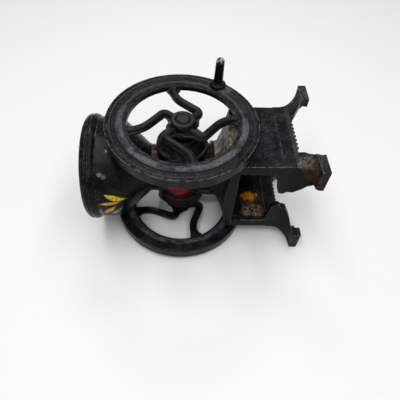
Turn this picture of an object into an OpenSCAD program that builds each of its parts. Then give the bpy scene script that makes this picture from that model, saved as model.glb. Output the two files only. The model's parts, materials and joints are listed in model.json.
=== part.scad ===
// Table-top coffee mill with two fly wheels, a round hopper and an open
// drawer compartment on four flared legs. Millimetres, +Z up.
// The axle runs along X, the handle wheel is on +X and the front is -Y.
// The origin is on the table, midway between the four feet.

/* [Base] */
// Width of the base over its two side castings
base_w = 38.8; // [35:0.2:39.6]
// Depth of the base, front to back
base_d = 32.8; // [30:0.2:38]
// Height of the side castings
base_h = 29.2; // [27:0.2:30.4]
// Wall of the side castings
wall = 2.2; // [1.6:0.1:2.8]
// Height of the skirt's lower edge above the table
skirt_z = 7.8; // [7:0.1:9]
// Width of the front and back flanges of a side casting
flange_w = 4.6; // [3.5:0.1:6]
// Number of dentils along each skirt
dentils = 8; // [5:1:9]
// Radius of one dentil
dentil_r = 0.65; // [0.4:0.05:0.8]
// How far the lower panel stands proud of the upper one
panel_step = 0.35; // [0.2:0.05:0.6]
// Height of the panel step above the table
step_z = 13.8; // [12:0.1:18]

/* [Legs] */
// How far each foot flares out past the base's sides
foot_out = 5.4; // [5:0.1:6.6]
// How far each foot flares out past the base's front and back
foot_fore = 7.3; // [6:0.1:7.4]
// Radius of the hollow curve down the outside of a leg
flare_r = 8.4; // [7.4:0.1:9]
// Height of the upright edge of a foot
toe_h = 3; // [2:0.1:4]
// Width of a foot along its side
toe_w = 8.7; // [7:0.1:9]
// Width of a front foot along the front
toe_front_w = 9.7; // [8:0.1:10.6]
// Thickness of the back feet
toe_t = 3.8; // [3.2:0.1:5]
// Distance from the mid-plane to the inner end of the front brackets
bracket_x = 3.8; // [2.5:0.1:6]
// Height of the lowest point of the front brackets
bracket_z = 10; // [9.4:0.1:11]

/* [Drawer compartment] */
// Height of the drawer ledges' underside
ledge_z = 13.4; // [12:0.1:18]
// Height of a drawer ledge
ledge_h = 3.4; // [2:0.1:5]
// How far a drawer ledge stands in from its wall
ledge_w = 1.3; // [0.8:0.1:2]

/* [Shoulder] */
// Height of the domed shoulder between base and column
shoulder_h = 8.4; // [7:0.1:8.8]
// Thickness of the shoulder's rim
shoulder_rim = 1.8; // [1:0.1:2.5]
// Radius of the coffee chute through the shoulder and column
chute_r = 5; // [3.5:0.1:6]

/* [Grinding case] */
// Height of the axle above the table
axle_z = 50.5; // [49.8:0.1:53]
// Radius of the column under the grinding drum
column_r = 10.4; // [9.5:0.1:11]
// Radius of the grinding drum
drum_r = 10; // [9.4:0.1:10.6]
// Length of the grinding drum
drum_l = 29; // [26:0.5:31]
// Radius of the neck under the hopper
neck_r = 9.6; // [9:0.1:10]
// Height of the neck's top above the axle
neck_rise = 12; // [11.2:0.1:13]
// Radius of the bearing bosses
boss_r = 6.2; // [5.5:0.1:7.5]
// Distance from the mid-plane to the end of a bearing boss
boss_x = 19.8; // [18.5:0.1:20]
// Radius of the grinding chamber
chamber_r = 7.4; // [6.8:0.1:7.8]
// Length of the grinding chamber
chamber_l = 18; // [14:0.5:20]
// Radius of the rivets that join the case halves
rivet_r = 0.9; // [0.7:0.1:1.1]
// Distance of the case rivets from the mid-plane, front and back
rivet_y = 7.7; // [7.5:0.1:8]

/* [Hopper] */
// Outside radius of the hopper's drum
hopper_r = 20.3; // [18:0.1:20.6]
// Wall of the hopper
hopper_wall = 1.6; // [1.2:0.1:2.4]
// Height of the bowl from the neck to the drum
bowl_h = 15.2; // [14:0.2:17]
// Height of the hopper's drum below the mouth ring
hopper_drum_h = 4.8; // [4:0.1:7]
// Height of the mouth ring
ring_h = 5.6; // [4.5:0.1:7]
// How far the bead of the mouth ring stands out from the drum
bead_out = 1.1; // [0.6:0.1:1.6]
// Depth of the groove round the bead
bead_groove = 0.35; // [0.2:0.05:0.6]

/* [Axle and grinder] */
// Radius of the axle
axle_r = 2.4; // [2:0.1:2.8]
// Radial clearance of the axle in its bushes
axle_clear = 0.05; // [0.02:0.01:0.1]
// Wall of the axle bushes
bush_wall = 1.4; // [1:0.1:1.8]
// Length of the axle bushes
bush_l = 7; // [5:0.5:9]
// How far the axle's peened ends stand out of the hubs
peen_h = 0.4; // [0.2:0.1:0.8]
// Wall of the fixed burr ring
burr_wall = 1.2; // [0.8:0.1:1.4]
// Gap between the grinding cone and the burr ring
grind_gap = 0.5; // [0.3:0.1:0.9]
// Number of teeth on the grinding cone
cone_teeth = 12; // [8:1:16]

/* [Wheels] */
// Outside radius of the fly wheels
wheel_r = 28.5; // [27:0.5:30]
// Distance from the mid-plane to a wheel's inner face
wheel_x = 21.1; // [20.9:0.1:23]
// Width of the rim at its outer edge
rim_t = 4.1; // [3.4:0.1:5]
// Radial depth of the rim
rim_w = 8; // [7:0.1:9]
// Thickness of the rim at its inner edge
rim_lip = 1.9; // [1.5:0.1:2.4]
// Height of the rim's raised band over its face
band_h = 0.5; // [0.3:0.05:0.8]
// Width of the rim's raised band
band_w = 3.6; // [3:0.1:4.2]
// Radius of the wheel hubs
hub_r = 4.7; // [4.2:0.1:5.2]
// Length of the wheel hubs
hub_l = 6; // [5.8:0.1:8]
// Number of spokes in a wheel
spokes = 4; // [3:1:5]
// Half-width of a spoke
spoke_r = 1.6; // [1.2:0.05:1.6]
// Depth of a spoke under its rounded top
spoke_base = 1; // [0.8:0.1:1.4]
// Length of a spoke's arm from the hub's centre to its bend
arm_l = 8; // [7:0.1:8.4]
// How far the arm lies behind the hub's centre line
arm_back = 0.7; // [0:0.1:1.2]
// Radius of the bend at the end of the arm
bend_r = 1.7; // [1.65:0.05:2.6]
// Length of the straight run after the bend
run_l = 6.8; // [6:0.1:8]
// Radius of the sweep from the run into the rim
sweep_r = 11; // [9:0.1:12]
// How much wider each side of a spoke grows at the hub
hub_flare = 2.2; // [1:0.1:2.8]
// How much wider each side of a spoke grows at the rim
rim_flare = 1.3; // [1:0.1:2.4]
// Turn of the handle wheel about the axle at rest
right_turn = 50; // [0:1:90]
// Turn of the other wheel about the axle at rest
left_turn = 21; // [0:1:90]

/* [Handle] */
// Radius of the handle peg at its foot
peg_r = 1.85; // [1.5:0.05:2.3]
// Length of the handle peg out of its collar
peg_l = 8.8; // [8:0.2:18]
// Radius of the handle's collar
collar_r = 3.2; // [2.6:0.1:3.4]
// Height of the handle's collar
collar_h = 2; // [1.4:0.1:2.6]
// Angle of the handle peg above the back of the wheel
peg_angle = -34; // [-90:1:90]

/* [Hidden] */
$fn = 96;
eps = 0.01;
seat = 0.05;
big = 100;
half_w = base_w / 2;
half_d = base_d / 2;
shoulder_top = base_h + shoulder_h;
neck_z = axle_z + neck_rise;
bowl_top = neck_z + bowl_h;
ring_z = bowl_top + hopper_drum_h;
hub_in = wheel_x - 0.6;
hub_out = hub_in + hub_l;
bush_r = axle_r + axle_clear;
bush_out = bush_r + bush_wall;
burr_in = chamber_r - burr_wall;
tenon_r = 1.3;
lobe_r = 1.7;
plate_t = 1.8;
lip_r = 0.75;
bowl_r = 8;
bowl_root = 0.5;
feed_r = neck_r - 3;
bead_r = ring_h * 0.62;
bead_share = 0.48;
fit_gap = 0.02;
toe_round = 0.3;
toe_share = 0.5;
heel_share = 0.6;
leg_lean = 0.3;
leg_spread = 4.6;
knee_h = 2.8;
knee_in = 1;
front_knee = [[9.4, 4.7], [5.9, 2.7], [-0.9, 0.4]];
instep_h = 1.8;
instep_share = 0.4;
bracket_rise = 5;
cove_r = 1.4;
back_slope = 1.5;
ledge_in = 0.5;
dome = [[1.183, 0.42], [0.97, 0.55], [0.84, 0.68]];
dome_foot = 1.35;
dome_top_r = half_d * dome[2][0];
dome_cove = 0.3;
collar_out = 1;
column_collar_h = 1.2;
drum_step = 1;
drum_cone_h = 2.4;
axle_room = 0.4;
rivet_head_r = rivet_r + 0.6;
rivet_head_h = 1;
rivet_seat_x = 6.4;
rivet_rise = 3;
rivet_z = shoulder_top + rivet_rise;
cone_pin_r = 0.7;
cone_taper = 1.2;
cone_room = 1;
cone_l = chamber_l - 2 * cone_room;
cone_r = burr_in - grind_gap;
tooth_r = 0.7;
rim_edge_r = 0.25;
rim_bead = 1;
lip_bead_r = 0.35;
edge_bead_r = 0.3;
groove_r = 0.25;
ridge_w = 2;
ridge_h = 0.14;
ridge_in = 1.5;
hub_chamfer = 0.4;
hub_cone = 0.8;
bore_chamfer = 0.5;
spoke_lift = 1.55;
spoke_top = spoke_lift + spoke_base + spoke_r;
ridge_step = 0.15;
ridge_root = 0.3;
hub_flare_run = 3.5;
hub_flare_end = 8;
rim_flare_run = 3;
spoke_bite = 1.068;
arc_steps = 8;
peg_out = 1.8;
peg_taper = 0.88;
peg_foot = 0.3;
collar_bead = 0.65;
band_ring = wheel_r - rim_w + rim_bead + band_w / 2;
peg_ring = band_ring + peg_out;
pad_in = 0.6;
pad_rise = 0.15;
pad_h = band_h + pad_rise;
peg_base = wheel_x + rim_t + pad_h + seat;

// Points along an arc, from angle a to angle b
function arc(cx, cy, r, a, b, n = 5) =
    [for (i = [0 : n]) [cx + r * cos(a + (b - a) * i / n), cy + r * sin(a + (b - a) * i / n)]];

// Points of a flat arch between two feet w apart that rises h, as a circle's radius
function arch_r(w, h) = (w * w / 4 + h * h) / (2 * h);

// The same points in the opposite order
function reversed(list) = [for (i = [len(list) - 1 : -1 : 0]) list[i]];

// Outer edge of a wall that stands upright and flares out into a foot, from
// the top down to the table. The first coordinate runs out from the middle.
function outer_edge(face, step, out) = let (
    sweep = acos(1 - out / flare_r),
    top = toe_h + flare_r * sin(sweep)
) concat(
    [[face - step, base_h], [face - step, step_z], [face, step_z - step]],
    arc(face + flare_r, top, flare_r, 180, 180 + sweep, 6),
    [[face + out, 0]]
);

// Inner edge of the same wall, from the table up to the top
function inner_edge(face, step, out) = let (
    inner = face - wall - step,
    heel = face + out - toe_t
) [
    [heel, 0], [heel, toe_h * heel_share],
    [inner + (heel - inner) * instep_share, toe_h + instep_h], [inner, skirt_z], [inner, base_h]
];

// Edge of a leg seen square on, from its foot up to the skirt
function leg_edge(face) = let (foot = face + foot_fore - toe_w) [
    [foot, 0], [foot + toe_round, toe_h * toe_share], [foot - leg_lean, toe_h],
    [foot - leg_spread, toe_h + knee_h], [foot - leg_spread - knee_in, skirt_z]
];

// Outline of a side casting seen along the axle
module side_outline() {
    leg = leg_edge(half_d);
    foot = half_d + foot_fore;
    pitch = 2 * leg[4][0] / (dentils + 1);
    polygon(concat(
        [[-foot, 0]], [for (p = leg) [-p[0], p[1]]], reversed(leg),
        [[foot, 0], [foot, base_h], [-foot, base_h]]
    ));
    for (i = [0 : dentils - 1])
        translate([(i - (dentils - 1) / 2) * pitch, skirt_z])
            circle(r = dentil_r, $fn = 24);
}

// Outline of the right-hand casting's front flange: jamb, bracket and foot
module front_outline() {
    foot = half_w + foot_out;
    toe = foot - toe_front_w;
    jamb = half_w - flange_w;
    shelf = bracket_z + bracket_rise;
    polygon(concat(
        [[foot, 0], [foot, base_h], [jamb, base_h], [jamb, shelf + cove_r]],
        arc(jamb - cove_r, shelf + cove_r, cove_r, 0, -75, 3),
        arc(bracket_x + lobe_r, bracket_z + lobe_r, lobe_r, 110, 250, 6),
        [for (p = front_knee) [toe - p[0], toe_h + p[1]]],
        [[toe, toe_h * toe_share], [toe, 0]]
    ));
}

// Outline of its back flange
module back_outline() {
    foot = half_w + foot_out;
    jamb = half_w - flange_w;
    polygon([
        [foot, 0], [foot, base_h], [jamb, base_h], [jamb, skirt_z + back_slope],
        [half_w - wall, skirt_z], [foot - toe_t, toe_h * heel_share], [foot - toe_t, 0]
    ]);
}

// Extrusions of outlines drawn across the width and across the depth
module along_x(from, to) {
    translate([from, 0, 0])
        rotate([90, 0, 90])
            linear_extrude(height = to - from)
                children();
}

module along_y(from, to) {
    translate([0, to, 0])
        rotate([90, 0, 0])
            linear_extrude(height = to - from)
                children();
}

// Right-hand side casting: side wall with its skirt, flanges, legs and ledge
module side_casting() {
    reach_x = half_w + foot_out;
    reach_y = half_d + foot_fore;
    depth_edge = outer_edge(half_d, 0, foot_fore);
    intersection() {
        along_y(-reach_y, reach_y)
            polygon(concat([[0, 0], [0, base_h]], outer_edge(half_w, panel_step, foot_out)));
        along_x(0, reach_x)
            polygon(concat(depth_edge, [for (p = reversed(depth_edge)) [-p[0], p[1]]]));
        union() {
            intersection() {
                along_x(0, reach_x) side_outline();
                along_y(-reach_y, reach_y)
                    polygon(concat(outer_edge(half_w, panel_step, foot_out),
                                   inner_edge(half_w, 0, foot_out)));
            }
            intersection() {
                along_y(-reach_y, 0) front_outline();
                along_x(0, reach_x)
                    polygon([for (p = concat(depth_edge, inner_edge(half_d, 0, foot_fore))) [-p[0], p[1]]]);
            }
            intersection() {
                along_y(0, reach_y) back_outline();
                along_x(0, reach_x)
                    polygon(concat(depth_edge, inner_edge(half_d, 0, foot_fore)));
            }
            translate([half_w - wall - ledge_w, -half_d + wall / 2, ledge_z])
                cube([wall + ledge_w - panel_step - ledge_in, base_d - 2 * wall - plate_t, ledge_h]);
        }
    }
}

module right_side() {
    color("#1b1b1f") side_casting();
}

module left_side() {
    color("#1b1b1f") mirror([1, 0, 0]) side_casting();
}

// Back of the drawer compartment, let in behind the back flanges
module back_plate() {
    color("#26262a")
        translate([-half_w + wall + seat, half_d - wall - plate_t - seat, skirt_z + 1])
            cube([base_w - 2 * wall - 2 * seat, plate_t, base_h - skirt_z - 1]);
}

// Domed shoulder between the square base and the round column
module shoulder() {
    color("#3a2f28")
        difference() {
            intersection() {
                translate([-half_w + panel_step, -half_d, base_h])
                    cube([base_w - 2 * panel_step, base_d, shoulder_h]);
                rotate_extrude()
                    polygon(concat(
                        [[0, base_h], [big, base_h], [big, base_h + shoulder_rim]],
                        [[half_w * dome_foot, base_h + shoulder_rim]],
                        [for (p = dome) [half_d * p[0], base_h + shoulder_h * p[1]]],
                        arc(dome_top_r, shoulder_top, shoulder_h * dome_cove, 270, 180, 4),
                        [[0, shoulder_top]]
                    ));
            }
            translate([0, 0, base_h - 1])
                cylinder(r = chute_r, h = shoulder_h + 2);
        }
}

// Solid form of the grinding case: column, drum, neck and bearing bosses
module case_form() {
    translate([0, 0, shoulder_top])
        cylinder(r = column_r, h = axle_z - shoulder_top);
    translate([0, 0, shoulder_top])
        cylinder(r = column_r + collar_out, h = column_collar_h);
    translate([0, 0, axle_z])
        cylinder(r = neck_r, h = neck_rise);
    translate([0, 0, axle_z])
        rotate([0, 90, 0]) {
            cylinder(r = drum_r, h = drum_l, center = true);
            for (side = [0, 180])
                rotate([0, side, 0]) {
                    translate([0, 0, drum_l / 2])
                        cylinder(r1 = drum_r - drum_step, r2 = boss_r, h = drum_cone_h);
                    cylinder(r = boss_r, h = boss_x);
                }
        }
}

// Chamber, chute and bearing seats inside it
module case_hollow() {
    translate([0, 0, shoulder_top - 1])
        cylinder(r = chute_r, h = axle_z - shoulder_top);
    translate([0, 0, axle_z])
        cylinder(r = feed_r, h = neck_rise + 1);
    translate([0, 0, axle_z])
        rotate([0, 90, 0]) {
            cylinder(r = chamber_r, h = chamber_l, center = true);
            cylinder(r = axle_r + axle_room, h = 2 * boss_x, center = true);
            for (side = [0, 180])
                rotate([0, side, 0])
                    translate([0, 0, boss_x - bush_l])
                        cylinder(r = bush_out + fit_gap, h = bush_l + 1);
        }
    for (side = [-1, 1])
        translate([0, side * rivet_y, rivet_z])
            rotate([0, 90, 0]) {
                cylinder(r = rivet_r + fit_gap, h = big, center = true);
                for (end = [0, 180])
                    rotate([0, end, 0])
                        translate([0, 0, rivet_seat_x])
                            cylinder(r = rivet_head_r + seat, h = big);
            }
}

module half_case() {
    difference() {
        case_form();
        case_hollow();
        translate([-big + seat / 2, -big / 2, 0])
            cube(big);
    }
}

module right_case() {
    color("#1d1d21") half_case();
}

module left_case() {
    color("#1d1d21") mirror([1, 0, 0]) half_case();
}

// Rivet across the column, headed over in a spot face on each half
module case_rivet(side) {
    color("#2e2e32")
        translate([0, side * rivet_y, rivet_z])
            rotate([0, 90, 0]) {
                cylinder(r = rivet_r, h = 2 * rivet_seat_x + rivet_head_h, center = true);
                for (end = [0, 180])
                    rotate([0, end, 0])
                        translate([0, 0, rivet_seat_x + fit_gap])
                            cylinder(r1 = rivet_head_r, r2 = rivet_r, h = rivet_head_h);
            }
}

module front_rivet() {
    case_rivet(-1);
}

module back_rivet() {
    case_rivet(1);
}

// Plain bearing sleeve pressed into a boss
module bush() {
    translate([boss_x - bush_l, 0, axle_z])
        rotate([0, 90, 0])
            difference() {
                cylinder(r = bush_out, h = bush_l);
                translate([0, 0, -1])
                    cylinder(r = bush_r, h = bush_l + 2);
            }
}

module right_bush() {
    color("#8a6f3a") bush();
}

module left_bush() {
    color("#8a6f3a") mirror([1, 0, 0]) bush();
}

// Fixed burr ring lining the grinding chamber, open above and below
module burr_ring() {
    color("#5a5a5e")
        translate([0, 0, axle_z])
            difference() {
                rotate([0, 90, 0])
                    difference() {
                        cylinder(r = chamber_r - fit_gap, h = chamber_l - 2 * seat, center = true);
                        cylinder(r = burr_in, h = chamber_l + 2, center = true);
                    }
                translate([0, 0, -big / 2])
                    cylinder(r = chute_r, h = big);
            }
}

// Bowl and drum of the hopper
module hopper() {
    color("#17171a")
        rotate_extrude()
            polygon(concat(
                [[feed_r, neck_z], [neck_r, neck_z], [neck_r + bowl_root, neck_z + 2 * bowl_root]],
                arc(hopper_r - bowl_r, bowl_top, bowl_r, -45, 0, 5),
                [[hopper_r, ring_z], [hopper_r - hopper_wall, ring_z]],
                arc(hopper_r - bowl_r, bowl_top, bowl_r - hopper_wall, 0, -45, 5),
                [[feed_r, neck_z + 2]]
            ));
}

// Mouth ring: a full bead with a groove round it and a rolled lip
module mouth_ring() {
    bead_z = ring_z + ring_h * bead_share;
    color("#222226")
        rotate_extrude()
            difference() {
                union() {
                    translate([hopper_r - hopper_wall, ring_z])
                        square([hopper_wall, ring_h - lip_r]);
                    intersection() {
                        translate([hopper_r + bead_out - bead_r, bead_z])
                            circle(r = bead_r);
                        translate([hopper_r - hopper_wall, ring_z])
                            square([big, ring_h - lip_r]);
                    }
                    translate([hopper_r - hopper_wall + lip_r, ring_z + ring_h - lip_r])
                        circle(r = lip_r, $fn = 48);
                }
                translate([hopper_r + bead_out + bead_groove, bead_z + bead_groove])
                    circle(r = 2 * bead_groove, $fn = 24);
            }
}

// Axle with its ends peened over the hubs and a cross hole for the cone's pin
module axle() {
    color("#4c4c50")
        translate([0, 0, axle_z])
            difference() {
                for (turn = [-90, 90])
                    rotate([0, turn, 0]) {
                        cylinder(r = axle_r, h = hub_out);
                        translate([0, 0, hub_out])
                            cylinder(r1 = axle_r, r2 = axle_r - peen_h, h = peen_h);
                    }
                cylinder(r = cone_pin_r + fit_gap, h = big, center = true);
            }
}

// Toothed grinding cone pinned on the axle
module grinding_cone() {
    color("#6a6a6e")
        translate([0, 0, axle_z])
            rotate([0, 90, 0])
                difference() {
                    translate([0, 0, -cone_l / 2])
                        cylinder(r1 = cone_r - cone_taper, r2 = cone_r, h = cone_l);
                    for (i = [0 : cone_teeth - 1])
                        rotate(i * 360 / cone_teeth)
                            translate([cone_r, 0, -cone_l / 2 - 1])
                                cylinder(r = tooth_r, h = cone_l + 2, $fn = 24);
                    cylinder(r = axle_r + fit_gap, h = cone_l + 2, center = true);
                    rotate([0, 90, 0])
                        cylinder(r = cone_pin_r + fit_gap, h = big, center = true);
                }
}

// Cross pin that holds the cone on the axle
module cone_pin() {
    color("#58585c")
        translate([0, 0, axle_z])
            cylinder(r = cone_pin_r, h = 2 * (cone_r - cone_taper - tooth_r), center = true);
}

// The sweep turns until the spoke's centre line is spoke_bite inside the rim
spoke_reach = arm_l + bend_r;
run_from = bend_r - arm_back;
run_to = run_from + run_l;
spoke_end = wheel_r - rim_w + spoke_bite;
sweep_at = norm([spoke_reach + sweep_r, run_to]);
sweep_angle = acos((pow(sweep_at, 2) + pow(sweep_r, 2) - pow(spoke_end, 2)) / (2 * sweep_at * sweep_r))
    - atan2(run_to, spoke_reach + sweep_r);

// Centre line of a spoke as [x, y, heading]: the arm, a square bend, the run and the sweep
spoke_line = concat(
    [for (i = [0 : arc_steps - 1]) [arm_l * i / arc_steps, -arm_back, 0]],
    [for (i = [0 : arc_steps]) let (t = 90 * i / arc_steps)
        [arm_l + bend_r * sin(t), run_from - bend_r * cos(t), t]],
    [for (i = [0 : arc_steps]) let (t = 90 - sweep_angle * i / arc_steps)
        [spoke_reach + sweep_r * (1 - sin(t)), run_to + sweep_r * cos(t), t]]
);

// A value held between 0 and 1
function clip(v) = min(max(v, 0), 1);

// Half-width of a spoke at distance d from the hub's centre
function spoke_half(d) = spoke_r
    + hub_flare * pow(clip((hub_flare_end - d) / hub_flare_run), 2)
    + rim_flare * pow(clip((d - wheel_r + rim_w + rim_flare_run) / rim_flare_run), 2);

// One side of the centre line, offset by the spoke's half-width there
function spoke_side(side) = [for (p = spoke_line)
    let (w = side * spoke_half(norm([p[0], p[1]])))
    [p[0] - w * sin(p[2]), p[1] + w * cos(p[2])]
];

// Upper part of a round bar's section, rooted a little way into the web
module spoke_section() {
    intersection() {
        circle(r = spoke_r - ridge_step, $fn = 40);
        translate([-spoke_r, -ridge_root])
            square([2 * spoke_r, 2 * spoke_r]);
    }
}

// Rounded top of one spoke, laid along its centre line
module spoke_ridge() {
    translate([hub_r / 2, -arm_back, 0])
        rotate([90, 0, 90])
            linear_extrude(height = arm_l - hub_r / 2)
                spoke_section();
    translate([arm_l, run_from, 0])
        rotate(-90)
            rotate_extrude(angle = 90)
                translate([bend_r, 0])
                    spoke_section();
    translate([spoke_reach, run_to, 0])
        rotate([90, 0, 0])
            linear_extrude(height = run_l)
                spoke_section();
    translate([spoke_reach + sweep_r, run_to, 0])
        rotate(180)
            mirror([0, 1, 0])
                rotate_extrude(angle = sweep_angle)
                    translate([sweep_r, 0])
                        spoke_section();
}

// Spokes: a flat web that flares into the hub and the rim, under rounded tops
module spider() {
    turns = [for (i = [0 : spokes - 1]) i * 360 / spokes];
    translate([0, 0, spoke_lift])
        linear_extrude(height = spoke_base)
            for (turn = turns)
                rotate(turn)
                    polygon(concat(spoke_side(-1), reversed(spoke_side(1))));
    translate([0, 0, spoke_lift + spoke_base])
        for (turn = turns)
            rotate(turn)
                spoke_ridge();
}

// Section of the rim: lip bead, broad band and low ridge parted by grooves
module rim_section() {
    inner = wheel_r - rim_w;
    ridge_at = wheel_r - ridge_in;
    difference() {
        union() {
            polygon([
                [band_ring, 0], [wheel_r - rim_edge_r, 0], [wheel_r, rim_edge_r],
                [wheel_r, rim_t - edge_bead_r], [wheel_r - edge_bead_r, rim_t],
                [inner + lip_bead_r, rim_t], [inner, rim_t - lip_bead_r], [inner, rim_t - rim_lip]
            ]);
            translate([inner + lip_bead_r, rim_t - lip_bead_r / 2])
                circle(r = lip_bead_r, $fn = 24);
            translate([wheel_r - edge_bead_r, rim_t - edge_bead_r / 2])
                circle(r = edge_bead_r, $fn = 24);
            face_arch(band_ring, band_w, band_h);
            face_arch(ridge_at, ridge_w, ridge_h);
        }
        for (r = [band_ring - band_w / 2, band_ring + band_w / 2,
                  ridge_at - ridge_w / 2, ridge_at + ridge_w / 2])
            translate([r, rim_t])
                circle(r = groove_r, $fn = 24);
    }
}

// Low arch on the rim's face, centred at radius r
module face_arch(r, w, h) {
    arch = arch_r(w, h);
    intersection() {
        translate([r, rim_t + h - arch])
            circle(r = arch, $fn = 96);
        translate([r - w / 2, rim_t - h])
            square([w, 3 * h]);
    }
}

// Fly wheel about +Z, its inner face at z = 0 and its outer face upwards
module wheel() {
    hub_top = hub_out - wheel_x;
    difference() {
        union() {
            rotate_extrude()
                rim_section();
            translate([0, 0, hub_in - wheel_x])
                cylinder(r = hub_r, h = hub_l - hub_chamfer);
            translate([0, 0, hub_top - hub_chamfer])
                cylinder(r1 = hub_r, r2 = hub_r - hub_chamfer, h = hub_chamfer);
            translate([0, 0, spoke_lift])
                cylinder(r1 = hub_r + hub_cone, r2 = hub_r, h = spoke_top - spoke_lift);
            spider();
        }
        cylinder(r = axle_r + fit_gap, h = big, center = true);
        translate([0, 0, hub_top - bore_chamfer])
            cylinder(r1 = axle_r + fit_gap, r2 = axle_r + bore_chamfer, h = bore_chamfer + eps);
    }
}

// Moves something from the wheel's centre out to the handle
module at_handle(z) {
    translate([wheel_x + z, 0, axle_z])
        rotate([0, 90, 0])
            rotate(peg_angle + 90)
                translate([peg_ring, 0, 0])
                    children();
}

module right_wheel() {
    color("#232328")
        difference() {
            union() {
                translate([wheel_x, 0, axle_z])
                    rotate([0, 90, 0])
                        rotate(right_turn)
                            wheel();
                at_handle(rim_t - band_h)
                    cylinder(r = collar_r - pad_in, h = band_h + pad_h);
            }
            at_handle(-1)
                cylinder(r = tenon_r + fit_gap, h = big);
        }
}

module left_wheel() {
    color("#1a1a1e")
        translate([-wheel_x, 0, axle_z])
            rotate([0, -90, 0])
                rotate(left_turn)
                    wheel();
}

// Moulded collar under the handle peg
module handle_collar() {
    color("#2a2a2e")
        at_handle(peg_base - wheel_x)
            rotate_extrude() {
                translate([collar_r - collar_bead, collar_bead])
                    circle(r = collar_bead, $fn = 48);
                polygon([
                    [tenon_r + fit_gap, 0], [collar_r - collar_bead, 0],
                    [collar_r - collar_bead, 2 * collar_bead], [peg_r + peg_foot, collar_h],
                    [tenon_r + fit_gap, collar_h]
                ]);
            }
}

// Handle peg with a domed end and a tenon riveted into the rim
module handle_peg() {
    end_r = peg_r * peg_taper;
    color("#141416")
        at_handle(peg_base - wheel_x) {
            translate([0, 0, collar_h])
                cylinder(r1 = peg_r, r2 = end_r, h = peg_l);
            translate([0, 0, collar_h + peg_l])
                intersection() {
                    sphere(r = end_r);
                    cylinder(r = peg_r, h = peg_r);
                }
            translate([0, 0, -rim_t])
                cylinder(r = tenon_r, h = rim_t + collar_h);
        }
}

right_side();
left_side();
back_plate();
shoulder();
right_case();
left_case();
front_rivet();
back_rivet();
right_bush();
left_bush();
burr_ring();
hopper();
mouth_ring();
axle();
grinding_cone();
cone_pin();
right_wheel();
left_wheel();
handle_collar();
handle_peg();
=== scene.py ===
"""Finish, light and camera for a small cast-iron coffee mill that lies on its left side."""

import json
import math

import bmesh
import bpy
from mathutils import Matrix, Vector


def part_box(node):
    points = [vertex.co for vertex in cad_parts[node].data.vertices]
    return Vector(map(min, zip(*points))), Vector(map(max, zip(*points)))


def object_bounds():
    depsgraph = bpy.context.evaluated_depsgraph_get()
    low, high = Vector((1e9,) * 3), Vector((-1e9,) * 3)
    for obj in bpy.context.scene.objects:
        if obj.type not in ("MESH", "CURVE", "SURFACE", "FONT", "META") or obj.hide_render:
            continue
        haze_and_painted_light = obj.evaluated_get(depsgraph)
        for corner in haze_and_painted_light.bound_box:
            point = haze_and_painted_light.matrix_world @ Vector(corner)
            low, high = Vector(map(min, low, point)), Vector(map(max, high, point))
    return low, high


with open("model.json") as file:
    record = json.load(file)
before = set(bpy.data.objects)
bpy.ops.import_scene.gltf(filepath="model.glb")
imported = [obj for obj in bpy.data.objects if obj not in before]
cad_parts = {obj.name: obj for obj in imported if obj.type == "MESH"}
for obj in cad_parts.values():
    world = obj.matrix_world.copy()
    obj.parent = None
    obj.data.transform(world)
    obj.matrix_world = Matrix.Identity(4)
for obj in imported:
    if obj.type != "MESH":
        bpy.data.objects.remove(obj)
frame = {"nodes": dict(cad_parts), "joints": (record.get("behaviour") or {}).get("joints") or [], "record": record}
cad_low, cad_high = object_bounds()

MM = 0.001
AXLE = Vector(frame["joints"][0]["pos_m"])
WHEEL_R = (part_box("right_wheel")[1].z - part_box("right_wheel")[0].z) / 2
HOPPER_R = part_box("hopper")[1].x
AXLE_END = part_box("axle")[1].x
PEG_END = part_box("handle_peg")[1].x


def mm(*lengths):
    """Lengths in millimetres, turned to the scene's metres."""
    return [length * MM for length in lengths]


# ---------------------------------------------------------------- node helpers

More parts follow.
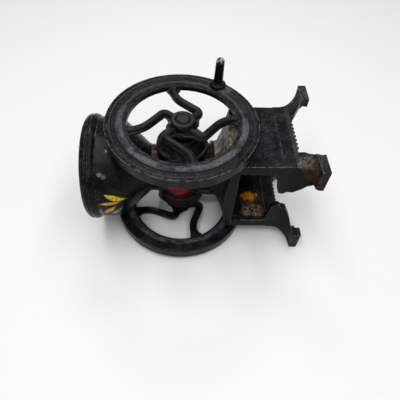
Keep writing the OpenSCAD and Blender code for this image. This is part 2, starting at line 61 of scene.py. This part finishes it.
class Web:
    """A node tree, with short calls for the nodes that these finishes share."""

    def __init__(self, tree):
        self.tree = tree

    def add(self, kind, inputs=None, **settings):
        node = self.tree.nodes.new(kind)
        for name, value in settings.items():
            setattr(node, name, value)
        for name, value in (inputs or {}).items():
            self.feed(node.inputs[name], value)
        return node

    def feed(self, socket, value):
        if isinstance(value, bpy.types.NodeSocket):
            self.tree.links.new(value, socket)
        elif hasattr(socket.default_value, "__len__") and len(socket.default_value) == 4:
            socket.default_value = (*value[:3], 1)
        else:
            socket.default_value = value

    def math(self, operation, first, second=0.0, clamp=False):
        node = self.add("ShaderNodeMath", {0: first, 1: second}, operation=operation, use_clamp=clamp)
        return node.outputs[0]

    def vector(self, operation, first, second=(0, 0, 0)):
        node = self.add("ShaderNodeVectorMath", {0: first, 1: second}, operation=operation)
        return node.outputs["Value" if operation in ("DOT_PRODUCT", "LENGTH") else "Vector"]

    def mix(self, factor, first, second):
        node = self.add("ShaderNodeMix", {0: factor, 6: first, 7: second}, data_type="RGBA")
        return node.outputs[2]

    def lay(self, colour, over, mask, strength):
        """Lays one colour over another where the mask is, as strongly as given."""
        return self.mix(self.math("MULTIPLY", mask, strength), colour, over)

    def span(self, value, low, high, to_low=0.0, to_high=1.0):
        """The value's place between low and high, held to the range given, with soft ends."""
        inputs = {0: value, 1: low, 2: high, 3: to_low, 4: to_high}
        return self.add("ShaderNodeMapRange", inputs, interpolation_type="SMOOTHSTEP").outputs[0]

    def noise(self, vector, scale, detail=3.0, roughness=0.55):
        """Clouds about 0.5, where the scale is how many fit into a metre."""
        inputs = {"Vector": vector, "Scale": scale, "Detail": detail, "Roughness": roughness}
        return self.add("ShaderNodeTexNoise", inputs).outputs["Fac"]

    def mottle(self, scale, low, high, detail=3.0, roughness=0.55, to_low=0.0, to_high=1.0):
        """Soft blotches all over a piece: noise whose place between low and high is taken."""
        return self.span(self.noise(self.place(), scale, detail, roughness), low, high, to_low, to_high)

    def place(self):
        return self.add("ShaderNodeTexCoord").outputs["Object"]

    def axes(self):
        """The place along the mill's own X, Y and Z."""
        return self.add("ShaderNodeSeparateXYZ", {0: self.place()}).outputs

    def facing(self):
        """The surface's direction in the mill's own axes."""
        return self.add("ShaderNodeTexCoord").outputs["Normal"]

    def group(self, tree, **inputs):
        node = self.add("ShaderNodeGroup", node_tree=tree)
        for name, value in inputs.items():
            self.feed(node.inputs[name.replace("_", " ").capitalize()], value)
        return node.outputs


FLOAT = "NodeSocketFloat"
VECTOR = "NodeSocketVector"


def new_group(name, inputs, outputs):
    """An empty shader group and the sockets inside it. An input is given as its value."""
    tree = bpy.data.node_groups.new(name, "ShaderNodeTree")
    for label, value in inputs.items():
        kind = VECTOR if hasattr(value, "__len__") else FLOAT
        socket = tree.interface.new_socket(label, in_out="INPUT", socket_type=kind)
        socket.default_value = value
    for label, kind in outputs.items():
        tree.interface.new_socket(label, in_out="OUTPUT", socket_type=kind)
    web = Web(tree)
    return web, web.add("NodeGroupInput").outputs, web.add("NodeGroupOutput").inputs


EDGE_REACH = 0.45 * MM
# How far a rounded normal turns from its face, where the broad rub and the bare line begin and are full
RUB_TURN = (0.015, 0.16)
BARE_TURN = (0.10, 0.22)


def edge_wear_group():
    """Rounds the edges in the normal, and masks those from which the enamel is rubbed off.

    Mask is the broad rub beside an edge, Bare the thin broken line on the edge itself, painted as bare metal and
    partly as a painted highlight."""
    web, given, out = new_group("edge wear", {"Amount": 0.5},
                                {"Mask": FLOAT, "Bare": FLOAT, "Normal": VECTOR})
    rounded = web.add("ShaderNodeBevel", {"Radius": EDGE_REACH}, samples=6).outputs["Normal"]
    face = web.add("ShaderNodeNewGeometry").outputs["Normal"]
    turn = web.math("SUBTRACT", 1.0, web.vector("DOT_PRODUCT", rounded, face))
    broken = web.noise(web.place(), 600.0, 5.0, 0.65)
    limit = web.math("SUBTRACT", 1.0, given["Amount"])
    rubbed = web.span(web.math("SUBTRACT", broken, limit), -0.08, 0.08)
    web.feed(out["Mask"], web.math("MULTIPLY", web.span(turn, *RUB_TURN), rubbed, clamp=True))
    web.feed(out["Bare"], web.math("MULTIPLY", web.span(turn, *BARE_TURN), web.span(broken, 0.42, 0.54)))
    web.feed(out["Normal"], rounded)
    return web.tree


# How much each part of the cast skin adds to its height
RIPPLE = 0.5
GRAIN = 0.35
PITS = 0.3


def cast_skin_group():
    """Height of sand-cast iron under enamel: soft ripples, fine grain and a few pits."""
    web, _, out = new_group("cast skin", {}, {"Height": FLOAT})
    place = web.place()
    ripple = web.math("MULTIPLY", web.noise(place, 330.0, 2.0), RIPPLE)
    grain = web.math("MULTIPLY", web.noise(place, 2300.0, 4.0, 0.6), GRAIN)
    pits = web.math("MULTIPLY", web.mottle(900.0, 0.34, 0.24, roughness=0.5), PITS)
    web.feed(out["Height"], web.math("SUBTRACT", web.math("ADD", ripple, grain), pits))
    return web.tree


def scuff_group():
    """Mask of fine rubbed lines, broken by clouds. They run the way of Along's small numbers."""
    web, given, out = new_group("scuffs", {"Along": (1.0, 0.2, 0.2)}, {"Mask": FLOAT})
    drawn = web.vector("MULTIPLY", web.place(), given["Along"])
    lines = web.span(web.noise(drawn, 2600.0, 4.0, 0.7), 0.47, 0.66)
    worn = web.mottle(190.0, 0.43, 0.67, roughness=0.6)
    web.feed(out["Mask"], web.math("MULTIPLY", lines, worn, clamp=True))
    return web.tree


def patch_group():
    """Ragged patch about a point: 1 at its heart, 0 past its radius."""
    web, given, out = new_group("ragged patch", {
        "Centre": (0.0, 0.0, 0.0), "Stretch": (1.0, 1.0, 1.0), "Radius": 5 * MM, "Ragged": 0.6,
        "Grain": 500.0,
    }, {"Mask": FLOAT})
    away = web.vector("MULTIPLY", web.vector("SUBTRACT", web.place(), given["Centre"]), given["Stretch"])
    share = web.math("DIVIDE", web.vector("LENGTH", away), given["Radius"])
    cloud = web.math("SUBTRACT", web.noise(web.place(), given["Grain"], 6.0, 0.66), 0.5)
    ragged = web.math("ADD", share, web.math("MULTIPLY", cloud, given["Ragged"]))
    web.feed(out["Mask"], web.span(ragged, 1.0, 0.55))
    return web.tree


def petal_group():
    """A painted petal from its base to its tip, on a surface unrolled to u and v.

    A Blunt above 1 moves the petal's belly towards its tip. Rim is a narrow border inside Mask."""
    web, given, out = new_group("painted petal", {
        "U": 0.0, "V": 0.0, "Base u": 0.0, "Base v": 0.0, "Tip u": 0.0, "Tip v": 1.0, "Width": 1.0,
        "Blunt": 1.0,
    }, {"Mask": FLOAT, "Rim": FLOAT})
    run_u = web.math("SUBTRACT", given["Tip u"], given["Base u"])
    run_v = web.math("SUBTRACT", given["Tip v"], given["Base v"])
    length = web.math("SQRT", web.math("ADD", web.math("MULTIPLY", run_u, run_u),
                                       web.math("MULTIPLY", run_v, run_v)))
    off_u = web.math("SUBTRACT", given["U"], given["Base u"])
    off_v = web.math("SUBTRACT", given["V"], given["Base v"])
    dot = web.math("ADD", web.math("MULTIPLY", off_u, run_u), web.math("MULTIPLY", off_v, run_v))
    cross = web.math("SUBTRACT", web.math("MULTIPLY", off_u, run_v), web.math("MULTIPLY", off_v, run_u))
    along = web.math("DIVIDE", dot, web.math("MULTIPLY", length, length))
    across = web.math("DIVIDE", web.math("ABSOLUTE", cross), length)
    held = web.math("MINIMUM", web.math("MAXIMUM", along, 0.0), 1.0)
    belly = web.math("SINE", web.math("MULTIPLY", web.math("POWER", held, given["Blunt"]), math.pi))
    half = web.math("MULTIPLY", belly, web.math("MULTIPLY", given["Width"], 0.5))
    cloud = web.math("SUBTRACT", web.noise(web.place(), 900.0, 3.0), 0.5)
    wobble = web.math("MULTIPLY", cloud, 0.35 * MM)
    inside = web.math("ADD", web.math("SUBTRACT", half, across), wobble)
    web.feed(out["Mask"], web.span(inside, *mm(-0.05, 0.12)))
    web.feed(out["Rim"], web.span(inside, *mm(0.45, 0.1)))
    return web.tree


EDGE_WEAR = edge_wear_group()
CAST_SKIN = cast_skin_group()
SCUFFS = scuff_group()
PATCH = patch_group()
PETAL = petal_group()


# ---------------------------------------------------------------- enamel, rust and patches

DUST = (0.45, 0.44, 0.42)
BARE_EDGE_AND_GLINT = (0.42, 0.39, 0.34)
SKIN_DEPTH = 0.25 * MM


def enamel(name, black, haze, haze_share=0.5, along=(1.0, 0.2, 0.2), rough=0.32, gloss=0.10, edge=0.45,
           edge_colour=(0.085, 0.080, 0.085), bump=0.12, bare=0.3, dust=0.3, dress=None, bare_glint_where=None):
    """Old enamel or dull bare metal, hazed in clouds and scuffed along one way.

    edge is the share of the edges that are rubbed. bare and dust say how plainly the bare edges and the
    dust show; the pale bare edge line stands partly for a painted highlight on the edges. dress(web,
    colour, roughness) adds what one finish alone has. The last argument, given the web, masks the edges
    whose bare line shows; without it all of them are meant."""
    material = bpy.data.materials.new(name)
    material.use_nodes = True
    shader = material.node_tree.nodes["Principled BSDF"]
    web = Web(material.node_tree)
    # Haze, scuffs and dust show on the faces towards +X and -X, and less on the others, which also makes those
    # other faces darker as painted shade
    side = web.math("ABSOLUTE", web.vector("DOT_PRODUCT", web.facing(), (1, 0, 0)))
    haze_and_painted_light = web.span(side, 0.2, 0.75, 0.3, 1.0)
    clouds = web.noise(web.place(), 150.0, 5.0, 0.62)
    clear_share = 1.0 - haze_share
    colour = web.lay(black, haze, web.span(clouds, clear_share - 0.2, clear_share + 0.2), haze_and_painted_light)
    colour = web.lay(colour, haze, web.mottle(1500.0, 0.45, 0.75, roughness=0.6, to_high=0.35), haze_and_painted_light)
    scuff = web.math("MULTIPLY", web.group(SCUFFS, along=along)["Mask"], haze_and_painted_light)
    colour = web.lay(colour, edge_colour, scuff, 0.55)
    speck = web.mottle(2400.0, 0.72, 0.79, detail=1.0, roughness=0.5)
    colour = web.lay(colour, DUST, web.math("MULTIPLY", speck, haze_and_painted_light), dust)
    roughness = web.span(clouds, 0.3, 0.7, rough - 0.06, rough + 0.12)
    roughness = web.math("ADD", roughness, web.math("MULTIPLY", scuff, 0.15))
    if dress:
        colour, roughness = dress(web, colour, roughness)
    wear = web.group(EDGE_WEAR, amount=edge)
    colour = web.lay(colour, edge_colour, wear["Mask"], 0.8)
    # The pale bare line on the edges is partly worn metal and partly a painted highlight
    line = web.math("MULTIPLY", wear["Bare"], bare_glint_where(web)) if bare_glint_where else wear["Bare"]
    colour = web.lay(colour, BARE_EDGE_AND_GLINT, line, bare)
    height = web.group(CAST_SKIN)["Height"]
    skin = web.add("ShaderNodeBump", {"Strength": bump, "Distance": SKIN_DEPTH, "Height": height,
                                      "Normal": wear["Normal"]}).outputs[0]
    web.feed(shader.inputs["Base Color"], colour)
    web.feed(shader.inputs["Roughness"], roughness)
    web.feed(shader.inputs["Normal"], skin)
    shader.inputs["Specular IOR Level"].default_value = gloss
    return material


def patch(web, centre, radius, ragged, grain=500.0, stretch=(1, 1, 1)):
    """Mask of a ragged patch, with its centre and radius in mm. A stretch above 1 narrows it."""
    return web.group(PATCH, centre=Vector(centre) * MM, radius=radius * MM, ragged=ragged, grain=grain,
                     stretch=stretch)["Mask"]


# Tones of rust, and roughness as a grey
BROWN = (0.020, 0.008, 0.005)
RED_BROWN = (0.15, 0.040, 0.014)
CRUST = (0.34, 0.24, 0.17)
RUST_ROUGH = (0.85, 0.85, 0.85)


def rust(web, colour, roughness, mask, dark, bright):
    """Lays grains of rust over a finish where the mask is, between the dark and the bright tone."""
    tone = web.mottle(1300.0, 0.42, 0.58, detail=5.0, roughness=0.65)
    return web.mix(mask, colour, web.mix(tone, dark, bright)), web.mix(mask, roughness, RUST_ROUGH)


# ---------------------------------------------------------------- wheels and handle

HUB_BLACK = (0.003, 0.003, 0.004)
OLIVE_FILM = (0.030, 0.026, 0.013)
PAINTED_BAND_HIGHLIGHT = (0.110, 0.107, 0.122)
GRIME = (0.15, 0.125, 0.095)
GRIME_PLACE = (25.0, 20.0, 34.0)
# Radii in mm at which a ring of the rim begins and is full, on its inner and on its outer side
LIP = ((20.0, 20.4), (21.4, 21.1))
BAND = ((21.3, 22.2), (25.0, 23.9))
# How far inside the rim's radius, in mm, its outer edge and its outer wall begin and are full
OUTER_EDGE = (0.9, 0.6)
OUTER_WALL = (0.45, 0.05)


def from_axle(web):
    """Distance from the axle's centre line."""
    return web.vector("LENGTH", web.vector("MULTIPLY", web.vector("SUBTRACT", web.place(), AXLE), (0, 1, 1)))


def ring_mask(web, radius, borders):
    """1 on a ring of the rim, 0 past its inner and outer borders."""
    inner, outer = borders
    return web.math("MULTIPLY", web.span(radius, *mm(*inner)), web.span(radius, *mm(*outer)))


def outer_mask(web, radius, inset):
    """1 on the outermost part of the rim, from the inset given."""
    begin, full = mm(*inset)
    return web.span(radius, WHEEL_R - begin, WHEEL_R - full)


def rim_edge_glints(web):
    """The rim's outer edge and its inner lip, where the bare line is strongest as a painted highlight, and a
    little of the spokes and grooves.
    """
    radius = from_axle(web)
    lip = web.math("MULTIPLY", ring_mask(web, radius, LIP), 0.7)
    rim = web.math("MAXIMUM", outer_mask(web, radius, OUTER_EDGE), lip)
    return web.math("MAXIMUM", rim, 0.12)


def wheel_dress(web, colour, roughness):
    """Dark hub, olive film on the rim's outer wall, painted highlight on the raised band, and grime beside the
    handle.
    """
    radius = from_axle(web)
    colour = web.lay(colour, HUB_BLACK, web.span(radius, *mm(8.0, 4.5)), 0.55)
    film = web.math("MULTIPLY", outer_mask(web, radius, OUTER_WALL), web.mottle(300.0, 0.42, 0.6))
    colour = web.lay(colour, OLIVE_FILM, film, 0.6)
    broken = web.mottle(200.0, 0.38, 0.58, detail=4.0, roughness=0.6, to_low=0.15)
    band = web.math("MULTIPLY", ring_mask(web, radius, BAND), broken)
    # The painted highlight on the band is strongest towards the front
    band = web.math("MULTIPLY", band, web.span(web.axes()[1], *mm(14.0, -8.0), 0.2, 1.0))
    grain = web.mottle(1900.0, 0.42, 0.60, roughness=0.6, to_low=0.3)
    colour = web.lay(colour, PAINTED_BAND_HIGHLIGHT, band, grain)
    colour = web.lay(colour, GRIME, patch(web, GRIME_PLACE, 4.5, ragged=1.4), 0.5)
    return colour, roughness


WORN_TIP = (0.40, 0.39, 0.38)
WORN_ROUGH = (0.5, 0.5, 0.5)


def peg_dress(web, colour, roughness):
    """Pale worn place on the peg's domed end, which the fingers rub."""
    end = web.span(web.axes()[0], PEG_END - 2.2 * MM, PEG_END - 1.0 * MM)
    worn = web.math("MULTIPLY", end, web.mottle(800.0, 0.40, 0.56, detail=5.0, roughness=0.65))
    return web.mix(worn, colour, WORN_TIP), web.mix(worn, roughness, WORN_ROUGH)


# ---------------------------------------------------------------- hopper

FLOWER_ANGLE = -86.5
FLOWER_FOOT = 72.3 * MM
PETALS = [
    # base u and v, tip u and v, width (mm from the flower's foot), bluntness, pale and deep colour
    (-1.0, 3.0, -7.4, 8.8, 2.4, 1.2, (0.86, 0.66, 0.20), (0.62, 0.38, 0.04)),
    (0.5, 1.2, -0.4, 10.5, 1.9, 0.9, (0.84, 0.62, 0.14), (0.58, 0.34, 0.02)),
    (0.2, -1.4, 4.7, 7.4, 2.8, 1.35, (0.90, 0.72, 0.10), (0.66, 0.44, 0.02)),
]
LEAVES = [
    (-3.2, 0.8, -8.4, 5.8, 2.6, 1.4, (0.42, 0.50, 0.42), (0.10, 0.20, 0.14)),
    (-2.2, 9.6, -9.6, 9.9, 1.6, 1.0, (0.32, 0.30, 0.38), (0.10, 0.09, 0.16)),
    (3.0, 8.0, 2.7, 10.6, 0.9, 1.0, (0.020, 0.030, 0.090), (0.014, 0.020, 0.060)),
    (5.8, 7.0, 5.6, 10.2, 0.9, 1.0, (0.010, 0.024, 0.030), (0.010, 0.014, 0.040)),
    (4.6, 7.3, 3.9, 10.1, 0.8, 1.0, (0.050, 0.014, 0.010), (0.030, 0.010, 0.008)),
    (3.4, -0.6, 8.6, 6.6, 2.6, 1.4, (0.010, 0.022, 0.012), (0.006, 0.014, 0.009)),
    (10.1, 3.6, 10.2, 6.9, 0.8, 1.0, (0.014, 0.030, 0.014), (0.008, 0.018, 0.010)),
]
# A stroke's border is its deep colour times this
BORDER_SHADE = (0.40, 0.22, 0.15)
CHIPS = [
    # centre and radius in mm, and how plainly the bare metal shows
    ((18.27, -8.83, 78.2), 0.60, 0.5), ((12.9, -15.7, 80.7), 1.1, 0.4), ((12.2, -16.2, 79.2), 1.0, 0.3),
    ((19.4, -6.2, 84.0), 0.7, 0.3), ((18.6, -8.6, 86.5), 0.7, 0.3),
]
BARE_CHIP = (0.34, 0.33, 0.34)
COFFEE_FILM = (0.055, 0.030, 0.016)


def unrolled(web, start):
    """Distance round the hopper from the start angle in degrees, and height, both in metres."""
    axes = web.axes()
    turned = web.math("SUBTRACT", web.math("ARCTAN2", axes[1], axes[0]), math.radians(start))
    return web.math("MULTIPLY", turned, HOPPER_R), axes[2]


def painted(web, colour, u, v, strokes):
    """Brush strokes laid one over the other, each streaked in two tones with a dark border."""
    for base_u, base_v, tip_u, tip_v, width, blunt, pale, deep in strokes:
        stroke = web.group(PETAL, u=u, v=v, base_u=base_u * MM, base_v=FLOWER_FOOT + base_v * MM,
                           tip_u=tip_u * MM, tip_v=FLOWER_FOOT + tip_v * MM, width=width * MM, blunt=blunt)
        streak = web.mottle(1100.0, 0.42, 0.6, roughness=0.6)
        border = [share * shade for share, shade in zip(deep, BORDER_SHADE)]
        paint = web.lay(web.mix(streak, deep, pale), border, stroke["Rim"], 0.75)
        colour = web.mix(stroke["Mask"], colour, paint)
    return colour


def hopper_dress(web, colour, roughness):
    """A hand-painted yellow flower on the front, chips in the enamel, coffee film inside."""
    u, v = unrolled(web, FLOWER_ANGLE)
    colour = painted(web, colour, u, v, LEAVES)
    colour = painted(web, colour, u, v, PETALS)
    for centre, radius, bare in CHIPS:
        colour = web.lay(colour, BARE_CHIP, patch(web, centre, radius, ragged=2.4, grain=2200.0), bare)
    # The direction times the way out from the middle is below 0 on the inner side
    outward = web.vector("DOT_PRODUCT", web.facing(), web.vector("MULTIPLY", web.place(), (1, 1, 0)))
    inside = web.span(outward, *mm(-1.0, -4.0))
    film = web.math("MULTIPLY", inside, web.mottle(260.0, 0.35, 0.65, detail=5.0))
    return web.lay(colour, COFFEE_FILM, film, 0.7), roughness


# ---------------------------------------------------------------- case

ROSE = [
    # centre, radius (mm), stretch, colour and strength. It is painted from the front, so Y has no stretch
    ((-3.0, -10.0, 51.5), 5.6, (0.9, 0.0, 0.8), (0.090, 0.008, 0.010), 0.8),
    ((-3.6, -10.0, 52.0), 3.4, (1.0, 0.0, 0.7), (0.34, 0.026, 0.030), 0.9),
    ((3.4, -10.0, 50.0), 3.0, (1.0, 0.0, 0.7), (0.28, 0.022, 0.026), 0.8),
    ((-11.2, -10.0, 51.0), 3.2, (1.4, 0.0, 0.8), (0.060, 0.010, 0.014), 0.7),
    ((-8.0, -8.4, 57.5), 4.2, (0.9, 0.0, 0.9), (0.012, 0.030, 0.026), 0.8),
]
PINSTRIPE_X = 9.3
FADED_PINK = (0.16, 0.060, 0.066)


def case_dress(web, colour, roughness):
    """Faded red rose on the drum's front, with a teal leaf, and a pink line round each end."""
    axes = web.axes()
    front = web.span(axes[1], *mm(-7.0, -8.5))
    for centre, radius, stretch, tint, strength in ROSE:
        blot = patch(web, centre, radius, ragged=0.7, grain=420.0, stretch=stretch)
        colour = web.lay(colour, tint, web.math("MULTIPLY", blot, front), strength)
    for line_x in (-PINSTRIPE_X, PINSTRIPE_X):
        away = web.math("ABSOLUTE", web.math("SUBTRACT", axes[0], line_x * MM))
        stripe = web.span(away, *mm(0.55, 0.25))
        faded = web.mottle(160.0, 0.40, 0.58, detail=4.0)
        colour = web.lay(colour, FADED_PINK, web.math("MULTIPLY", stripe, faded), 0.5)
    return colour, roughness


# ---------------------------------------------------------------- shoulder and sides

DOME_RUB = (14.5, 0.5, 35.0)
DOME_DARK = (0.060, 0.040, 0.028)
DOME_PALE_SHEEN = (0.33, 0.28, 0.235)
SEAM_RUST = (13.0, -9.0, 31.0)


def shoulder_dress(web, colour, roughness):
    """Enamel rubbed through on the shoulder's dome, its pale tone partly a painted sheen, with rust round its
    foot.
    """
    rub = patch(web, DOME_RUB, 12, ragged=0.9, grain=300.0, stretch=(1.0, 1.0, 0.7))
    tone = web.mottle(520.0, 0.38, 0.62, detail=5.0, roughness=0.7)
    # The rubbed dome's pale tone is partly worn iron and partly a painted sheen
    colour = web.lay(colour, web.mix(tone, DOME_DARK, DOME_PALE_SHEEN), rub, 0.85)
    seam = patch(web, SEAM_RUST, 5, ragged=1.2)
    return rust(web, colour, roughness, web.math("MULTIPLY", seam, 0.4), BROWN, RED_BROWN)


RUBBED = [
    # centre, radius (mm), stretch, strength, dark and pale tone
    ((21.0, -15.0, 6.0), 4.0, (1, 1, 1), 0.65, (0.034, 0.027, 0.023), (0.20, 0.16, 0.13)),
    ((24.0, -18.0, 3.4), 4.5, (1, 1, 1), 0.5, (0.026, 0.023, 0.020), (0.09, 0.084, 0.07)),
    ((23.0, 19.0, 4.0), 6.0, (1, 1, 0.8), 0.7, (0.020, 0.018, 0.018), (0.080, 0.074, 0.072)),
    ((-20.0, -21.5, 4.0), 5.0, (1, 1, 1), 0.35, (0.010, 0.010, 0.009), (0.034, 0.031, 0.029)),
    ((-23.0, 19.0, 4.0), 6.0, (1, 1, 0.8), 0.6, (0.018, 0.017, 0.017), (0.060, 0.056, 0.055)),
    ((21.6, 11.0, 10.0), 3.0, (1, 1, 1), 0.5, (0.030, 0.018, 0.014), (0.070, 0.045, 0.034)),
]
RUST_SPOTS = [
    # centre, radius (mm), stretch, strength, dark and bright tone: first in the compartment, then on a leg
    ((-16.6, -2.6, 19.8), 5.8, (3, 1, 0.8), 0.8, BROWN, RED_BROWN),
    ((-16.6, -10.6, 19.2), 5.8, (3, 0.9, 1), 0.9, (0.012, 0.008, 0.007), CRUST),
    ((-16.6, -12.4, 17.0), 3.4, (3, 1, 1), 0.8, (0.09, 0.028, 0.010), (0.42, 0.16, 0.06)),
    ((-16.6, -7.3, 22.4), 2.4, (3, 1, 1), 0.7, (0.030, 0.036, 0.024), (0.20, 0.22, 0.15)),
    ((-16.6, -1.8, 19.6), 4.7, (3, 1.4, 1), 1.0, (0.44, 0.11, 0.012), (0.95, 0.38, 0.04)),
    ((19.5, -22.0, 4.2), 4.4, (1, 0.4, 1), 0.45, BROWN, (0.13, 0.055, 0.024)),
    ((22.5, -22.0, 1.4), 2.4, (1, 0.4, 1), 0.5, (0.030, 0.014, 0.014), (0.10, 0.045, 0.034)),
]


def side_dress(web, colour, roughness):
    """Rubbed grey and tan places on the legs, and thick rust inside the compartment."""
    for centre, radius, stretch, strength, dark, pale in RUBBED:
        rub = patch(web, centre, radius, ragged=0.9, grain=380.0, stretch=stretch)
        tone = web.mottle(700.0, 0.40, 0.60, detail=5.0, roughness=0.65)
        colour = web.lay(colour, web.mix(tone, dark, pale), rub, strength)
    for centre, radius, stretch, strength, dark, bright in RUST_SPOTS:
        spot = patch(web, centre, radius, ragged=1.0, grain=520.0, stretch=stretch)
        colour, roughness = rust(web, colour, roughness, web.math("MULTIPLY", spot, strength), dark, bright)
    return colour, roughness


# ---------------------------------------------------------------- finishes of the pieces

FINISHES = {
    # The side plates' bare edge line is made strong to paint the highlight along the panel's lower edge
    "side_enamel": enamel(
        "worn side enamel with painted light", (0.004, 0.004, 0.005), (0.014, 0.013, 0.016), haze_share=0.45,
        along=(0.3, 1.0, 0.25), rough=0.26, gloss=0.09, edge=0.5, bump=0.4, bare=0.9, dust=0.5,
        dress=side_dress),
    "base_enamel": enamel(
        "inner base enamel", (0.008, 0.007, 0.007), (0.020, 0.018, 0.016), rough=0.5),
    "worn_enamel": enamel(
        "rubbed shoulder enamel with painted sheen", (0.007, 0.006, 0.006), (0.020, 0.018, 0.017), rough=0.42, edge=0.5,
        dress=shoulder_dress),
    "body_enamel": enamel(
        "black case enamel", (0.0035, 0.0035, 0.004), (0.008, 0.008, 0.009), haze_share=0.42,
        rough=0.26, gloss=0.08, edge=0.40, dress=case_dress),
    "hopper_enamel": enamel(
        "black hopper enamel", (0.003, 0.003, 0.0035), (0.008, 0.008, 0.009), haze_share=0.42,
        along=(0.3, 0.3, 1.0), rough=0.20, gloss=0.09, edge=0.42, bump=0.25, dress=hopper_dress),
    "wheel_enamel": enamel(
        "hazed wheel enamel with painted highlights", (0.004, 0.004, 0.005), (0.015, 0.015, 0.019), haze_share=0.45,
        along=(1.0, 0.25, 0.9), rough=0.24, gloss=0.12, edge=0.46, edge_colour=(0.050, 0.048, 0.053),
        bump=0.3, bare=0.75, dust=0.6, dress=wheel_dress, bare_glint_where=rim_edge_glints),
    "handle_enamel": enamel(
        "handle enamel", (0.003, 0.003, 0.003), (0.007, 0.007, 0.008), haze_share=0.45, rough=0.22,
        edge=0.38, dress=peg_dress),
    "rivet_iron": enamel(
        "blackened rivet iron", (0.020, 0.019, 0.019), (0.060, 0.056, 0.052), rough=0.45),
    "burr_iron": enamel(
        "bare burr iron", (0.10, 0.095, 0.09), (0.22, 0.20, 0.19), rough=0.5),
    "axle_steel": enamel(
        "peened axle steel", (0.008, 0.008, 0.009), (0.024, 0.023, 0.027), rough=0.30, edge=0.5),
    "bush_brass": enamel(
        "bush brass", (0.20, 0.13, 0.05), (0.34, 0.24, 0.10), rough=0.4),
}


def finish_pieces():
    """Gives every piece the finish of its slot in the record."""
    for entry in frame["record"]["subparts"]:
        piece = frame["nodes"][entry["node"]]
        piece.data.materials.clear()
        piece.data.materials.append(FINISHES[entry["material_slot"]])


# ---------------------------------------------------------------- table, light and camera

# The mill lies on its left feet and on the left end of its axle
FOOT_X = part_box("left_side")[0].x
TABLE_UP = Vector((AXLE.z, 0, FOOT_X + AXLE_END)).normalized()
TABLE_POINT = Vector((-AXLE_END, 0, AXLE.z))
TABLE_HALF = 1.5
TABLE_WHITES = ((0.835, 0.835, 0.83), (0.845, 0.845, 0.842))
MIDDLE = (cad_low + cad_high) / 2

LAMPS = [
    # name, offset along Y and Z and height over the mill's middle (m), size along Y and Z, power
    ("left strip", (-0.02, 0.15), 0.46, (0.50, 0.07), 1.15),
    ("right strip", (-0.02, -0.20), 0.46, (0.50, 0.07), 0.75),
    ("back soft box", (0.34, 0.0), 0.42, (0.12, 0.12), 0.4),
    ("front soft box", (-0.36, 0.0), 0.40, (0.50, 0.50), 0.8),
    ("overhead soft box", (0.0, 0.0), 0.50, (0.30, 0.30), 0.35),
]
DAYLIGHT = (0.97, 0.985, 1.0, 1)
DAYLIGHT_STRENGTH = 0.22

CAMERA_PLACE = Vector(mm(121.87, -108.07, 53.01))
CAMERA_AIM = Vector(mm(0.0, -16.97, 43.30))
CAMERA_ROLL = math.radians(-89.5)
LENS = 34.9


def table_frame():
    """Turns +Z to the table's upward normal, with +Y kept along the mill's own +Y."""
    forward = Vector((0, 1, 0))
    across = forward.cross(TABLE_UP).normalized()
    return Matrix((across, forward, TABLE_UP)).transposed().to_4x4()


def table_material():
    """White that shows from above and in reflections.

    It is clear to the rays that a matt surface sends out, so the daylight reaches the mill from below too."""
    material = bpy.data.materials.new("pale table")
    material.use_nodes = True
    web = Web(material.node_tree)
    nodes = material.node_tree.nodes
    nodes.remove(nodes["Principled BSDF"])
    white = web.mix(web.noise(web.place(), 60.0, 2.0), *TABLE_WHITES)
    matt = web.add("ShaderNodeBsdfDiffuse", {"Color": white}).outputs[0]
    clear = web.add("ShaderNodeBsdfTransparent").outputs[0]
    under = web.add("ShaderNodeNewGeometry").outputs["Backfacing"]
    thrown = web.add("ShaderNodeLightPath").outputs["Is Diffuse Ray"]
    passed = web.math("MAXIMUM", under, thrown)
    mixed = web.add("ShaderNodeMixShader", {0: passed, 1: matt, 2: clear}).outputs[0]
    web.feed(nodes["Material Output"].inputs["Surface"], mixed)
    return material


def make_table():
    """Pale table under the mill's left side."""
    mesh = bpy.data.meshes.new("table")
    sheet = bmesh.new()
    bmesh.ops.create_grid(sheet, x_segments=1, y_segments=1, size=TABLE_HALF)
    sheet.to_mesh(mesh)
    sheet.free()
    mesh.transform(Matrix.Translation(TABLE_POINT) @ table_frame())
    mesh.materials.append(table_material())
    table = bpy.data.objects.new("table", mesh)
    bpy.context.scene.collection.objects.link(table)


def make_lamp(name, offset, height, size, power):
    """Soft box over the table, turned to the mill's middle."""
    data = bpy.data.lights.new(name, "AREA")
    data.shape = "RECTANGLE"
    data.size, data.size_y = size
    data.energy = power
    lamp = bpy.data.objects.new(name, data)
    lamp.location = MIDDLE + TABLE_UP * height + Vector((0, *offset))
    lamp.rotation_mode = "QUATERNION"
    lamp.rotation_quaternion = (MIDDLE - lamp.location).to_track_quat("-Z", "Y")
    bpy.context.scene.collection.objects.link(lamp)


def make_daylight():
    """Even pale light from all round."""
    world = bpy.data.worlds.new("studio")
    bpy.context.scene.world = world
    world.use_nodes = True
    shade = world.node_tree.nodes["Background"]
    shade.inputs["Color"].default_value = DAYLIGHT
    shade.inputs["Strength"].default_value = DAYLIGHT_STRENGTH


def make_camera():
    """Looks down at the mill's front and handle wheel, with the hopper to the left."""
    data = bpy.data.cameras.new("camera")
    data.sensor_width = 36.0
    data.lens = LENS
    data.clip_start = 0.01
    camera = bpy.data.objects.new("camera", data)
    look = (CAMERA_AIM - CAMERA_PLACE).to_track_quat("-Z", "Y").to_matrix()
    turn = look @ Matrix.Rotation(CAMERA_ROLL, 3, "Z")
    camera.matrix_world = Matrix.Translation(CAMERA_PLACE) @ turn.to_4x4()
    bpy.context.scene.collection.objects.link(camera)
    bpy.context.scene.camera = camera


finish_pieces()
make_table()
for lamp_row in LAMPS:
    make_lamp(*lamp_row)
make_daylight()
make_camera()
bpy.context.scene.view_settings.view_transform = "Standard"
